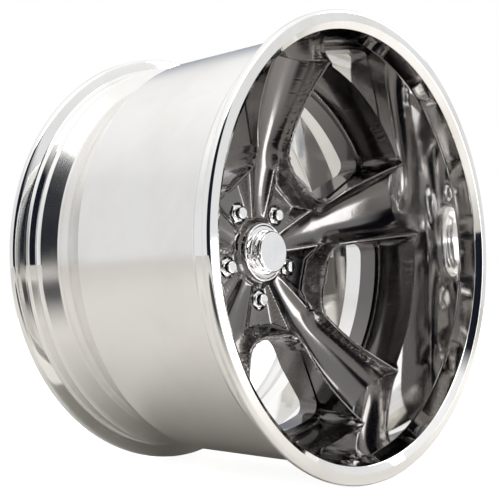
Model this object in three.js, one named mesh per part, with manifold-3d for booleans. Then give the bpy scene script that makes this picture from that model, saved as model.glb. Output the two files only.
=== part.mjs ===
// A deep-dish forged racing wheel: a one-piece polished rim, a five-spoke forged center welded into it,
// lug nuts on captive washers over steel seats, a push-in center cap and a metal tyre valve.
// Millimetres. The wheel's axis is Y, the street side faces -Y and a spoke points straight up, along +Z.
import * as THREE from "three";
import { mergeVertices } from "three/addons/utils/BufferGeometryUtils.js";
import Module from "manifold-3d";

const wasm = await Module();
wasm.setup();

// ---------- Driving dimensions ----------
const FIT_GAP = 0.3; // clearance between pieces that touch on the real wheel
const ROUND_SEGMENTS = 60; // facets round everything as large as the rim, a multiple of five

// Rim
const BEAD_SEAT_RADIUS = 254; // 20 inch rim
const RIM_WIDTH = 304.8; // 12 inch rim, between the flanges' tyre faces
const FLANGE_HEIGHT = 17.3; // above the bead seat
const FLANGE_THICKNESS = 12.6; // along the axis
const FLANGE_TIP = 9; // from the flange's tyre face out to its widest circle
const BARREL_STEP = 1.5; // the plain barrel lies this far inside the bead seat
const SEAT_WALL = 8; // barrel wall where the center sits
const REAR_WALL = 5; // barrel wall behind the center
const WELL_REACH = 95.4; // the drop center starts this far inside the rear bead
const WELL_SLOPE_LENGTH = 36; // easy slope into the drop center
const WELL_END = 40.4; // and it ends this far inside the rear bead
const WELL_DEPTH = 14; // below the plain barrel
const HUMP_INSIDE = 21.9; // crest of the safety hump, inside the rear bead
const HUMP_HEIGHT = 1.8;

// Forged center
const SPOKES = 5;
const SEAT_BACK_PLANE = 12; // back of the center where it meets the rim
const TIP_PLANE = -74; // front of the spoke tips
const PAD_PLANE = 40; // hub mounting face
const PAD_RADIUS = 82;
const CAP_SEAT_PLANE = 4; // front face of the hub boss
const BOSS_SLOPE = 1.5;
const HUB_BORE_RADIUS = 39.1; // pilot bore at the back
const HUB_BORE_DEPTH = 12;
const BORE_LEDGE = 6.6; // from the pilot bore in to the cap's bore
const POCKET_FLOOR = 13.2; // floor of the lug pockets
const POCKET_WALL_SLOPE = 0.71;

// Spokes: a scoop between two ridges, both curving forwards on the way out
const RIDGE_START_RADIUS = 47; // where the ridges leave the hub
const RIDGE_START_PLANE = 10.7;
const RIDGE_SLOPE = 0.144; // climb of a ridge beside its lug pocket
const RIDGE_HALF_WIDTH = 12.2; // from the spoke's centre line, at the start
const RIDGE_SPREAD = 0.19; // growth of the half width per millimetre outwards
const RIDGE_JOIN = 31; // the run in which a ridge rises to the window bands
const VALLEY_START_PLANE = 12; // bottom of the scoop at the hub
const VALLEY_END_PLANE = -35.2; // and at the rim
const SCOOP_POWER = 3.6; // a flat-bottomed scoop with steep sides

// Windows
const WINDOW_INNER_RADIUS = 108.7;
const WINDOW_OUTER_WALL = 6.5; // metal left outside the window's recess
const WINDOW_LEDGE = 17.5; // the through opening stops this far inside the rim
const WINDOW_LEDGE_PLANE = -10.4;
const WINDOW_CORNER_RADIUS = 31;
const WINDOW_OUTER_CORNER = 6;
const OPENING_CORNER = 16;
const OPENING_INSET = 3; // the through opening's sides against the recess
const WINDOW_SIDE_ANGLE = 25; // degrees from the window's own centre line
const WINDOW_SIDE_OFFSET = 6.34; // how far the side lines pass from the wheel's axis
const FRAME_WIDTH = 4.5; // raised band round each window
const FRAME_FLANK_SLOPE = 3;
const BAND_PLANE = -18; // the band's front at the hub
const BAND_FLAT_RADIUS = 117; // inside this the band is level
const FILLET = 3;

// Lugs, 5 x 120.65
const LUG_CIRCLE_RADIUS = 60.325;
const LUG_WEB = 14; // metal between a counterbore and the hub pad
const STUD_RADIUS = 6.5;
const SHANK_WALL = 1.3; // of the nut's shank round the stud
const SHANK_LENGTH = 11;
const SEAT_WALL_THICKNESS = 2.9; // of the steel seat round the shank
const SEAT_FLANGE = 2.4;
const NUT_FLATS = 21; // across flats
const WASHER_MARGIN = 0.5; // outside the nut's corners
const WASHER_THICKNESS = 2.4;
const SOCKET_CLEARANCE = 1.6; // round the washer, for a thin-wall socket
const HEX_HEIGHT = 7.3;
const NOSE_LENGTH = 9; // the nut's round nose, in front of the hexagon
const NOSE_WALL = 1.1;

// Center cap
const CAP_OVERLAP = 4.9; // the cap's flange over the edge of its bore
const CAP_FLANGE_THICKNESS = 3;
const CAP_HEIGHT = 9; // from the hub boss to the back of the disc
const CAP_DISC_RADIUS = 26.3;
const CAP_DISC_THICKNESS = 8.5;
const CAP_SLEEVE_LENGTH = 16;
const CAP_WALL = 4;
const O_RING_WIRE = 2;

// Tyre valve
const VALVE_ANGLE = -54; // degrees from +X, behind a spoke
const VALVE_BEHIND = 24; // from the back of the center at the rim
const VALVE_STEM_RADIUS = 4;
const VALVE_STEM_WALL = 1.4;
const GROMMET_WALL = 1.5;
const VALVE_LENGTH = 32; // inwards from the rim's inner wall
const VALVE_NUT_WALL = 1.7; // from the thread to the flats
const VALVE_CAP_WALL = 0.7;
const VALVE_CAP_LENGTH = 9;

const FLANGE_RADIUS = BEAD_SEAT_RADIUS + FLANGE_HEIGHT;
const BARREL_RADIUS = BEAD_SEAT_RADIUS - BARREL_STEP;
const CENTER_SEAT_RADIUS = BARREL_RADIUS - SEAT_WALL;
const REAR_INNER_RADIUS = BARREL_RADIUS - REAR_WALL;
const CENTER_RADIUS = CENTER_SEAT_RADIUS - FIT_GAP;
const HALF_BEAD = RIM_WIDTH / 2;
const HALF_WIDTH = HALF_BEAD + FLANGE_THICKNESS;
const CAP_BORE_RADIUS = HUB_BORE_RADIUS - BORE_LEDGE;
const CAP_FLANGE_RADIUS = CAP_BORE_RADIUS + CAP_OVERLAP;
const COUNTERBORE_FLOOR = PAD_PLANE - LUG_WEB;
const SHANK_RADIUS = STUD_RADIUS + SHANK_WALL;
const SEAT_SLEEVE_RADIUS = SHANK_RADIUS + SEAT_WALL_THICKNESS + FIT_GAP;
const VALVE_HOLE_RADIUS = VALVE_STEM_RADIUS + GROMMET_WALL + FIT_GAP;
const WASHER_RADIUS = NUT_FLATS / Math.sqrt(3) + WASHER_MARGIN;
const COUNTERBORE_RADIUS = WASHER_RADIUS + SOCKET_CLEARANCE;
const SECTOR = 360 / SPOKES;
const rad = THREE.MathUtils.degToRad;

// ---------- Helpers ----------
function solid(geometry) {
  const plain = geometry.index ? geometry.toNonIndexed() : geometry.clone();
  plain.deleteAttribute("normal");
  plain.deleteAttribute("uv");
  const merged = mergeVertices(plain, 1e-3);
  const vertProperties = new Float32Array(merged.attributes.position.array);
  const triVerts = new Uint32Array(merged.index.array);
  return new wasm.Manifold(new wasm.Mesh({ numProp: 3, vertProperties, triVerts }));
}

function geometryOf(manifold) {
  const mesh = manifold.getMesh();
  const geometry = new THREE.BufferGeometry();
  const position = new THREE.BufferAttribute(new Float32Array(mesh.vertProperties), 3);
  geometry.setAttribute("position", position);
  geometry.setIndex(new THREE.BufferAttribute(new Uint32Array(mesh.triVerts), 1));
  return geometry;
}

// A ring or disc about the Y axis. The section's [radius, y] points run anticlockwise.
function turned(section, segments = 32) {
  const points = section.map(([radius, y]) => new THREE.Vector2(radius, y));
  const open = section[0][0] === 0 && section.at(-1)[0] === 0;
  if (!open) points.push(points[0].clone());
  return new THREE.LatheGeometry(points, segments);
}

function hexagon(flats, y0, y1) {
  const geometry = new THREE.CylinderGeometry(flats / Math.sqrt(3), flats / Math.sqrt(3), y1 - y0, 6);
  return geometry.translate(0, (y0 + y1) / 2, 0);
}

function rod(radius, y0, y1, segments = 24) {
  return new THREE.CylinderGeometry(radius, radius, y1 - y0, segments).translate(0, (y0 + y1) / 2, 0);
}

const finish = (color, roughness, metalness) =>
  new THREE.MeshStandardMaterial({ color, roughness, metalness });
const POLISHED = () => finish(0xe3e2df, 0.08, 1);
const GUNMETAL = () => finish(0x4a4542, 0.3, 0.8);
const CHROME = () => finish(0xf0f0f0, 0.04, 1);
const STEEL = () => finish(0x9a9a98, 0.35, 1);
const RUBBER = () => finish(0x1a1a1a, 0.8, 0);
const BRASS = () => finish(0xb08d4a, 0.35, 1);

function piece(name, geometry, material) {
  const mesh = new THREE.Mesh(geometry, material);
  mesh.name = name;
  return mesh;
}

// Turns something drawn on the +Z side of the axis to sector i, clockwise from the top.
const toSector = (i) => rad(SECTOR * (i + 0.5));

// ---------- Rim ----------
// A flange's outline as seen from its own end of the rim: radius against distance from mid-width.
// It runs from the bead seat over the rolled lip and down to the inner wall.
function flangeOutline() {
  return [
    [BEAD_SEAT_RADIUS, HALF_BEAD - 3.5],
    [BEAD_SEAT_RADIUS + 4, HALF_BEAD],
    [FLANGE_RADIUS - 4, HALF_BEAD + 2.6],
    [FLANGE_RADIUS, HALF_BEAD + FLANGE_TIP],
    [FLANGE_RADIUS - 4.5, HALF_WIDTH],
    [FLANGE_RADIUS - 13, HALF_WIDTH],
    [BARREL_RADIUS - 2.5, HALF_WIDTH - 6],
  ];
}

function rim() {
  const inner = CENTER_SEAT_RADIUS;
  const wellRadius = BARREL_RADIUS - WELL_DEPTH;
  const wellFront = HALF_BEAD - WELL_REACH;
  const hump = HALF_BEAD - HUMP_INSIDE;
  const front = flangeOutline().map(([radius, y]) => [radius, -y]);
  const rear = flangeOutline();
  const rearBarrel = [
    [BARREL_RADIUS, wellFront],
    [wellRadius, wellFront + WELL_SLOPE_LENGTH],
    [wellRadius, HALF_BEAD - WELL_END],
    [BEAD_SEAT_RADIUS - 1, hump - 4.5],
    [BEAD_SEAT_RADIUS + HUMP_HEIGHT, hump],
    [BEAD_SEAT_RADIUS - 1.5, hump + 4.5],
  ];
  const innerWall = [
    [REAR_INNER_RADIUS, HALF_BEAD - 4],
    [REAR_INNER_RADIUS - 1, hump + 3.5],
    [wellRadius - REAR_WALL, HALF_BEAD - WELL_END + 2],
    [wellRadius - REAR_WALL, wellFront + WELL_SLOPE_LENGTH],
    [REAR_INNER_RADIUS, wellFront - 3],
    [REAR_INNER_RADIUS, SEAT_BACK_PLANE + 12],
    [inner, SEAT_BACK_PLANE + 8],
    [inner, TIP_PLANE],
    [inner + 4, -HALF_BEAD + 2],
  ];
  const frontBarrel = [
    [BEAD_SEAT_RADIUS - 1.5, -hump - 4.5],
    [BEAD_SEAT_RADIUS + HUMP_HEIGHT, -hump],
    [BARREL_RADIUS, -hump + 4.5],
  ];
  const section = [...front.reverse(), ...frontBarrel, ...rearBarrel, ...rear, ...innerWall];
  const valveHole = rod(VALVE_HOLE_RADIUS, inner - 10, BARREL_RADIUS + 10, 20);
  return geometryOf(solid(turned(section, ROUND_SEGMENTS)).subtract(solid(atValve(valveHole))));
}

// ---------- Forged center ----------
// Plane of the raised window bands: level at the hub, then curving forwards to the spoke tips.
function bandPlane(radius) {
  const run = Math.max(radius - BAND_FLAT_RADIUS, 0) / (CENTER_SEAT_RADIUS - BAND_FLAT_RADIUS);
  return BAND_PLANE + (TIP_PLANE - BAND_PLANE) * run ** 2;
}

// Bottom of the scoop that runs along each spoke.
function valleyPlane(radius) {
  const run = (radius - RIDGE_START_RADIUS) / (CENTER_SEAT_RADIUS - RIDGE_START_RADIUS);
  return VALLEY_START_PLANE + (VALLEY_END_PLANE - VALLEY_START_PLANE) * run ** 2;
}

// Distance of a point outside a window's outline: u runs along the window's centre line, w across it.
function outsideWindow(u, w) {
  const angle = rad(WINDOW_SIDE_ANGLE);
  const across = Math.abs(w);
  const side = across * Math.cos(angle) - u * Math.sin(angle) + WINDOW_SIDE_OFFSET;
  const inner = WINDOW_INNER_RADIUS - Math.hypot(u, w);
  const corner = WINDOW_CORNER_RADIUS;
  if (side < -corner || inner < -corner) return Math.max(side, inner);
  return Math.hypot(side + corner, inner + corner) - corner;
}

// Two planes joined by a fillet: the one further forwards wins.
function blended(a, b, fillet) {
  const h = Math.max(fillet - Math.abs(a - b), 0) / fillet;
  return Math.min(a, b) - (h * h * fillet) / 4;
}

// The center's front surface at a point in the plane of the wheel.
function frontPlane(x, z) {
  const radius = Math.hypot(x, z);
  const fromTop = THREE.MathUtils.euclideanModulo(90 - THREE.MathUtils.radToDeg(Math.atan2(z, x)), SECTOR);
  const fromSpoke = Math.min(fromTop, SECTOR - fromTop);
  const fromWindow = rad(SECTOR / 2 - fromSpoke);
  const band = bandPlane(radius);
  // the scoop of the spoke, up to the ridge that bounds it, and the lug pocket beyond the ridge
  const run = radius - RIDGE_START_RADIUS;
  const ridgeWidth = RIDGE_HALF_WIDTH + RIDGE_SPREAD * run;
  const across = radius * Math.sin(rad(fromSpoke));
  const joined = THREE.MathUtils.smoothstep(radius, WINDOW_INNER_RADIUS, WINDOW_INNER_RADIUS + RIDGE_JOIN);
  const ridge = THREE.MathUtils.lerp(RIDGE_START_PLANE - RIDGE_SLOPE * run, band, joined);
  const valley = valleyPlane(radius);
  const scoop = valley + (ridge - valley) * Math.min(across / ridgeWidth, 1) ** SCOOP_POWER;
  const pocketWall = ridge + POCKET_WALL_SLOPE * (across - ridgeWidth);
  const face = across < ridgeWidth ? scoop : Math.min(pocketWall, POCKET_FLOOR);
  // the raised band round the window with its flank, and the boss under the cap
  const outside = outsideWindow(radius * Math.cos(fromWindow), radius * Math.sin(fromWindow));
  const flank = band + FRAME_FLANK_SLOPE * Math.max(outside - FRAME_WIDTH, 0);
  const boss = CAP_SEAT_PLANE + BOSS_SLOPE * Math.max(radius - CAP_FLANGE_RADIUS - 1, 0);
  return blended(blended(face, flank, FILLET), boss, 1);
}

const spaced = (from, to, count) =>
  Array.from({ length: count }, (_, i) => from + ((to - from) * i) / (count - 1));

// Radii of the rings of facets on the front, closest together on the flank behind the lug pockets.
const bossFoot = CAP_FLANGE_RADIUS + 1 + (VALLEY_START_PLANE - CAP_SEAT_PLANE) / BOSS_SLOPE;
const bandEdge = WINDOW_INNER_RADIUS - FRAME_WIDTH;
const pocketEdge = bandEdge - (POCKET_FLOOR - bandPlane(bandEdge)) / FRAME_FLANK_SLOPE;
const FRONT_RINGS = [
  CAP_BORE_RADIUS,
  CAP_FLANGE_RADIUS + 1,
  ...spaced(bossFoot, pocketEdge, 5),
  ...spaced(bandEdge, BAND_FLAT_RADIUS, 3),
  ...spaced(BAND_FLAT_RADIUS + 13, CENTER_RADIUS, 7),
];

const BACK_RINGS = [
  [CENTER_RADIUS, SEAT_BACK_PLANE],
  [CENTER_RADIUS - 12, SEAT_BACK_PLANE],
  [CENTER_RADIUS - 32, SEAT_BACK_PLANE + 6],
  [(CENTER_RADIUS + PAD_RADIUS) / 2, PAD_PLANE - 10],
  [PAD_RADIUS + 8, PAD_PLANE - 5],
  [PAD_RADIUS, PAD_PLANE],
  [CAP_BORE_RADIUS, PAD_PLANE],
];

// A window's outline, inset evenly by `inset`, out to `outerRadius`, drawn along +X.
function windowShape(inset, outerRadius, outerCorner) {
  const angle = rad(WINDOW_SIDE_ANGLE);
  const corner = WINDOW_CORNER_RADIUS - inset;
  const offset = WINDOW_SIDE_OFFSET + inset;
  const along = (distance, radius) => Math.sqrt(radius * radius - distance * distance);
  // a point given by its distance inside the upper side line, and its radius from the wheel's axis
  const place = (inside, radius) => {
    const run = along(offset + inside, radius);
    return new THREE.Vector2(
      run * Math.cos(angle) + (offset + inside) * Math.sin(angle),
      run * Math.sin(angle) - (offset + inside) * Math.cos(angle),
    );
  };
  const innerCentre = place(corner, WINDOW_INNER_RADIUS + WINDOW_CORNER_RADIUS);
  const outerCentre = place(outerCorner, outerRadius - outerCorner);
  const turnSide = angle + Math.PI / 2; // direction from a corner's centre to the upper side line
  const shape = new THREE.Shape();
  shape.absarc(innerCentre.x, innerCentre.y, corner, turnSide, Math.PI + innerCentre.angle(), false);
  shape.absarc(0, 0, WINDOW_INNER_RADIUS + inset, innerCentre.angle(), -innerCentre.angle(), true);
  const lowerTurn = Math.PI - innerCentre.angle();
  shape.absarc(innerCentre.x, -innerCentre.y, corner, lowerTurn, 2 * Math.PI - turnSide, false);
  shape.absarc(outerCentre.x, -outerCentre.y, outerCorner, -turnSide, -outerCentre.angle(), false);
  shape.absarc(0, 0, outerRadius, -outerCentre.angle(), outerCentre.angle(), false);
  shape.absarc(outerCentre.x, outerCentre.y, outerCorner, outerCentre.angle(), turnSide, false);
  return shape;
}

function windowCutter(shape, y0, y1) {
  const geometry = new THREE.ExtrudeGeometry(shape, { depth: y1 - y0, bevelEnabled: false, curveSegments: 5 });
  geometry.rotateX(Math.PI / 2).translate(0, y1, 0); // the outline's plane becomes XZ
  return geometry.rotateY(-Math.PI / 2); // the window points along +Z
}

function center() {
  const section = [...FRONT_RINGS.map((radius) => [radius, 0]), ...BACK_RINGS];
  const blank = turned(section, ROUND_SEGMENTS);
  const position = blank.attributes.position;
  for (let i = 0; i < position.count; i++) {
    const ring = i % (section.length + 1);
    const isFront = ring < FRONT_RINGS.length || ring === section.length;
    if (isFront) position.setY(i, frontPlane(position.getX(i), position.getZ(i)));
  }
  let body = solid(blank);
  const far = HALF_WIDTH;
  const recess = windowShape(0, CENTER_SEAT_RADIUS - WINDOW_OUTER_WALL, WINDOW_OUTER_CORNER);
  const opening = windowShape(OPENING_INSET, CENTER_SEAT_RADIUS - WINDOW_LEDGE, OPENING_CORNER);
  for (let i = 0; i < SPOKES; i++) {
    const cutters = [
      windowCutter(recess, -far, WINDOW_LEDGE_PLANE),
      windowCutter(opening, -far, far),
      rod(COUNTERBORE_RADIUS, -far, COUNTERBORE_FLOOR, 20).translate(0, 0, LUG_CIRCLE_RADIUS),
      rod(SEAT_SLEEVE_RADIUS, -far, far, 16).translate(0, 0, LUG_CIRCLE_RADIUS),
    ];
    for (const cutter of cutters) {
      body = body.subtract(solid(cutter.rotateY(toSector(i))));
    }
  }
  return geometryOf(body.subtract(solid(rod(HUB_BORE_RADIUS, PAD_PLANE - HUB_BORE_DEPTH, far, 40))));
}

function weldBead() {
  const back = SEAT_BACK_PLANE + FIT_GAP;
  return turned([[CENTER_RADIUS - 5, back], [CENTER_RADIUS, back], [CENTER_RADIUS, back + 5]], ROUND_SEGMENTS);
}

// ---------- Lugs, drawn on the wheel's axis ----------
function lugSeat() {
  const top = COUNTERBORE_FLOOR - FIT_GAP;
  const sleeve = SEAT_SLEEVE_RADIUS - FIT_GAP;
  const bore = SHANK_RADIUS + FIT_GAP;
  const flange = COUNTERBORE_RADIUS - FIT_GAP;
  return turned([
    [bore, top - SEAT_FLANGE],
    [flange, top - SEAT_FLANGE],
    [flange, top],
    [sleeve, top],
    [sleeve, PAD_PLANE - FIT_GAP],
    [bore, PAD_PLANE - FIT_GAP],
  ], 16);
}

const WASHER_BACK = COUNTERBORE_FLOOR - 2 * FIT_GAP - SEAT_FLANGE;
const NUT_SEAT = WASHER_BACK - WASHER_THICKNESS - FIT_GAP;
const HEX_FRONT = NUT_SEAT - HEX_HEIGHT;
const NUT_TIP = HEX_FRONT - NOSE_LENGTH;
const NOSE_RADIUS = STUD_RADIUS + NOSE_WALL;

function lugWasher() {
  const bore = SHANK_RADIUS + FIT_GAP;
  const front = WASHER_BACK - WASHER_THICKNESS;
  return turned([[bore, front], [WASHER_RADIUS, front], [WASHER_RADIUS, WASHER_BACK], [bore, WASHER_BACK]], 16);
}

function lugNut() {
  const hex = solid(hexagon(NUT_FLATS, HEX_FRONT, NUT_SEAT));
  const nose = turned([
    [0, NUT_TIP],
    [NOSE_RADIUS - 1, NUT_TIP],
    [NOSE_RADIUS, NUT_TIP + 1],
    [NOSE_RADIUS, HEX_FRONT + 1],
    [0, HEX_FRONT + 1],
  ], 16);
  const shank = rod(SHANK_RADIUS, HEX_FRONT + 1, NUT_SEAT + SHANK_LENGTH, 16);
  const thread = rod(STUD_RADIUS, HEX_FRONT - 3, NUT_SEAT + SHANK_LENGTH + 1, 12);
  return geometryOf(hex.add(solid(nose)).add(solid(shank)).subtract(solid(thread)));
}

// ---------- Center cap ----------
const CAP_BACK = CAP_SEAT_PLANE - FIT_GAP;
const CAP_DISC_BACK = CAP_SEAT_PLANE - CAP_HEIGHT;
const CAP_DISC_FRONT = CAP_DISC_BACK - CAP_DISC_THICKNESS;
const SLEEVE_RADIUS = CAP_BORE_RADIUS - FIT_GAP;
const GROOVE_PLANE = CAP_BACK + 9;

function capBody() {
  const groove = O_RING_WIRE / 2 + FIT_GAP;
  const grooveRadius = SLEEVE_RADIUS - O_RING_WIRE - FIT_GAP;
  const front = CAP_DISC_BACK + FIT_GAP;
  return turned([
    [SLEEVE_RADIUS - CAP_WALL, CAP_BACK + CAP_SLEEVE_LENGTH],
    [SLEEVE_RADIUS - CAP_WALL, CAP_BACK + 1],
    [CAP_DISC_RADIUS - 4, front + 3],
    [3.3, front + 3],
    [3.3, front],
    [CAP_DISC_RADIUS - 1.5, front],
    [CAP_DISC_RADIUS - 0.5, front + 1.2],
    [CAP_FLANGE_RADIUS - 4.5, CAP_BACK - 1.4],
    [CAP_FLANGE_RADIUS - 2.6, CAP_BACK - CAP_FLANGE_THICKNESS],
    [CAP_FLANGE_RADIUS - 0.8, CAP_BACK - CAP_FLANGE_THICKNESS],
    [CAP_FLANGE_RADIUS, CAP_BACK - CAP_FLANGE_THICKNESS + 1],
    [CAP_FLANGE_RADIUS, CAP_BACK],
    [SLEEVE_RADIUS, CAP_BACK],
    [SLEEVE_RADIUS, GROOVE_PLANE - groove],
    [grooveRadius, GROOVE_PLANE - groove],
    [grooveRadius, GROOVE_PLANE + groove],
    [SLEEVE_RADIUS, GROOVE_PLANE + groove],
    [SLEEVE_RADIUS, CAP_BACK + CAP_SLEEVE_LENGTH],
  ], 36);
}

function capDisc() {
  return geometryOf(
    solid(turned([
      [0, CAP_DISC_FRONT],
      [CAP_DISC_RADIUS - 1.6, CAP_DISC_FRONT],
      [CAP_DISC_RADIUS, CAP_DISC_FRONT + 1.6],
      [CAP_DISC_RADIUS, CAP_DISC_BACK - 1.5],
      [CAP_DISC_RADIUS - 1.5, CAP_DISC_BACK],
      [0, CAP_DISC_BACK],
    ], 36)).subtract(solid(rod(2.5, CAP_DISC_BACK - 5, CAP_DISC_BACK + 1, 12))),
  );
}

function capScrew() {
  const head = CAP_DISC_BACK + 3 + 2 * FIT_GAP;
  const shank = solid(rod(2.5 - FIT_GAP, CAP_DISC_BACK - 4.5, head + 1, 12));
  return geometryOf(shank.add(solid(rod(5, head, head + 2.6, 16))));
}

function oRing() {
  const half = O_RING_WIRE / 2;
  const section = [];
  for (let i = 0; i < 6; i++) {
    const turn = rad(60 * i);
    section.push([SLEEVE_RADIUS - half + half * Math.cos(turn), GROOVE_PLANE + half * Math.sin(turn)]);
  }
  return turned(section, 36);
}

// ---------- Tyre valve, drawn along +Y as the radius, then laid into the rim ----------
function atValve(geometry) {
  geometry.rotateX(Math.PI / 2); // the radius now runs along +Z
  geometry.rotateY(rad(90 - VALVE_ANGLE));
  return geometry.translate(0, SEAT_BACK_PLANE + VALVE_BEHIND, 0);
}

const VALVE_OUTSIDE = BARREL_RADIUS + FIT_GAP;
const VALVE_INSIDE = REAR_INNER_RADIUS - 2 * FIT_GAP;
const VALVE_TIP = REAR_INNER_RADIUS - VALVE_LENGTH;
const VALVE_BORE = VALVE_STEM_RADIUS - VALVE_STEM_WALL;
const CORE_LENGTH = 14;
const PIN_RADIUS = 0.7;
const CAP_CLEARANCE = 0.8;

function valveStem() {
  const headRadius = VALVE_HOLE_RADIUS + 2.2;
  return turned([
    [VALVE_BORE, VALVE_TIP],
    [VALVE_STEM_RADIUS, VALVE_TIP],
    [VALVE_STEM_RADIUS, VALVE_OUTSIDE + 2 + FIT_GAP],
    [headRadius, VALVE_OUTSIDE + 2 + FIT_GAP],
    [headRadius, VALVE_OUTSIDE + 3.5],
    [1.5, VALVE_OUTSIDE + 3.5],
    [1.5, VALVE_TIP + CORE_LENGTH + 2],
    [VALVE_BORE, VALVE_TIP + CORE_LENGTH + 2],
  ], 14);
}

function valveGrommet() {
  const bore = VALVE_STEM_RADIUS + FIT_GAP;
  const neck = VALVE_HOLE_RADIUS - FIT_GAP;
  const outer = VALVE_HOLE_RADIUS + 2.4;
  return turned([
    [bore, VALVE_INSIDE + 1],
    [neck, VALVE_INSIDE + 1],
    [neck, VALVE_OUTSIDE],
    [outer, VALVE_OUTSIDE],
    [outer, VALVE_OUTSIDE + 2],
    [bore, VALVE_OUTSIDE + 2],
  ], 14);
}

function valveWasher() {
  const bore = VALVE_STEM_RADIUS + FIT_GAP;
  const outer = VALVE_HOLE_RADIUS + 2.4;
  return turned([[bore, VALVE_INSIDE - 1.5], [outer, VALVE_INSIDE - 1.5], [outer, VALVE_INSIDE], [bore, VALVE_INSIDE]], 14);
}

function valveNut() {
  const front = VALVE_INSIDE - 1.5 - FIT_GAP;
  const hex = solid(hexagon(2 * (VALVE_STEM_RADIUS + FIT_GAP + VALVE_NUT_WALL), front - 5, front));
  return geometryOf(hex.subtract(solid(rod(VALVE_STEM_RADIUS + FIT_GAP, front - 6, front + 1, 14))));
}

function valveCore() {
  const radius = VALVE_BORE - FIT_GAP;
  const bore = PIN_RADIUS + FIT_GAP;
  const start = VALVE_TIP + 1.5;
  return turned([[bore, start], [radius, start], [radius, start + CORE_LENGTH], [bore, start + CORE_LENGTH]], 12);
}

function valvePin() {
  return rod(PIN_RADIUS, VALVE_TIP + 0.3, VALVE_TIP + CORE_LENGTH + 2.5, 8);
}

const CAP_SEAL_PLANE = VALVE_TIP - CAP_CLEARANCE;

function valveCapSeal() {
  return turned([
    [1.4, CAP_SEAL_PLANE - 1.5],
    [VALVE_STEM_RADIUS, CAP_SEAL_PLANE - 1.5],
    [VALVE_STEM_RADIUS, CAP_SEAL_PLANE],
    [1.4, CAP_SEAL_PLANE],
  ], 12);
}

function valveCap() {
  const inside = VALVE_STEM_RADIUS + FIT_GAP;
  const closed = CAP_SEAL_PLANE - 1.5 - FIT_GAP;
  return turned([
    [0, closed - 1.5],
    [inside + VALVE_CAP_WALL - 1, closed - 1.5],
    [inside + VALVE_CAP_WALL, closed - 0.5],
    [inside + VALVE_CAP_WALL, closed + VALVE_CAP_LENGTH],
    [inside, closed + VALVE_CAP_LENGTH],
    [inside, closed],
    [0, closed],
  ], 14);
}

// ---------- Assembly ----------
const wheel = new THREE.Group();
wheel.add(piece("rim_barrel", rim(), POLISHED()));
wheel.add(piece("spoke_center", center(), GUNMETAL()));
wheel.add(piece("weld_bead", weldBead(), STEEL()));

for (let i = 0; i < SPOKES; i++) {
  const lug = new THREE.Group();
  lug.rotation.y = toSector(i);
  const stack = new THREE.Group();
  stack.position.z = LUG_CIRCLE_RADIUS;
  stack.add(piece(`lug_seat_${i + 1}`, lugSeat(), STEEL()));
  stack.add(piece(`lug_washer_${i + 1}`, lugWasher(), CHROME()));
  stack.add(piece(`lug_nut_${i + 1}`, lugNut(), CHROME()));
  lug.add(stack);
  wheel.add(lug);
}

wheel.add(piece("cap_body", capBody(), CHROME()));
wheel.add(piece("cap_disc", capDisc(), CHROME()));
wheel.add(piece("cap_screw", capScrew(), STEEL()));
wheel.add(piece("cap_o_ring", oRing(), RUBBER()));

wheel.add(piece("valve_stem", atValve(valveStem()), CHROME()));
wheel.add(piece("valve_grommet", atValve(valveGrommet()), RUBBER()));
wheel.add(piece("valve_washer", atValve(valveWasher()), STEEL()));
wheel.add(piece("valve_nut", atValve(valveNut()), CHROME()));
wheel.add(piece("valve_core", atValve(valveCore()), BRASS()));
wheel.add(piece("valve_pin", atValve(valvePin()), BRASS()));
wheel.add(piece("valve_cap_seal", atValve(valveCapSeal()), RUBBER()));
wheel.add(piece("valve_cap", atValve(valveCap()), CHROME()));

export default wheel;
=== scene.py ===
# %% [markdown]
# # A deep-dish forged racing wheel
# This lesson dresses a finished mechanical model of a wheel. The model is a fixed frame: every piece
# built here lies where the frame says, and rides on the frame's body that moves it.
# The wheel is a polished rim, a five-spoke gunmetal center welded into it, a chrome center cap,
# five chrome lug nuts on washers and steel seats, and a metal tyre valve.
# The wheel's axis is Y, the street side faces -Y and one spoke points straight up.

# %% Load the frame
import math

import bmesh
import bpy
import numpy as np
from mathutils import Matrix, Vector, geometry, kdtree


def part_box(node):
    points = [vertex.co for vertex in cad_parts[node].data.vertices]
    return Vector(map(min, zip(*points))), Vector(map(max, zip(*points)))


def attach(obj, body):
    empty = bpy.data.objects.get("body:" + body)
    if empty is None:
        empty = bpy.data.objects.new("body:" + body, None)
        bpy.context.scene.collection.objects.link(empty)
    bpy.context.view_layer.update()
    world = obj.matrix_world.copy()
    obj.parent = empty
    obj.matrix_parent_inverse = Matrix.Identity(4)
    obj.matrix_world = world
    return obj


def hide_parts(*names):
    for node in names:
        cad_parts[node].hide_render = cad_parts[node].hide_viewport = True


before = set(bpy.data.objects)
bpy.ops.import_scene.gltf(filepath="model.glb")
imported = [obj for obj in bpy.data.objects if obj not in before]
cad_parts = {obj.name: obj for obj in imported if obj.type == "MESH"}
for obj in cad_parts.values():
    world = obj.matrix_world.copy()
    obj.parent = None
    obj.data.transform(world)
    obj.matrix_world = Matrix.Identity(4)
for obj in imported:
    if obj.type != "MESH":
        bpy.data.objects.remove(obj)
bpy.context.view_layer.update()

# %% [markdown]
# ## Driving sizes
# Sizes that the frame knows are measured from its boxes, so that they can't drift from it. The shapes
# inside a piece are given in millimetres, which are turned into metres only when a mesh is made.

# %% Sizes from the frame
MM = 0.001
SPOKES = 5
SECTOR = 2 * math.pi / SPOKES


def low(node, axis):
    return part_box(node)[0]["xyz".index(axis)] / MM


def high(node, axis):
    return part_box(node)[1]["xyz".index(axis)] / MM


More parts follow.
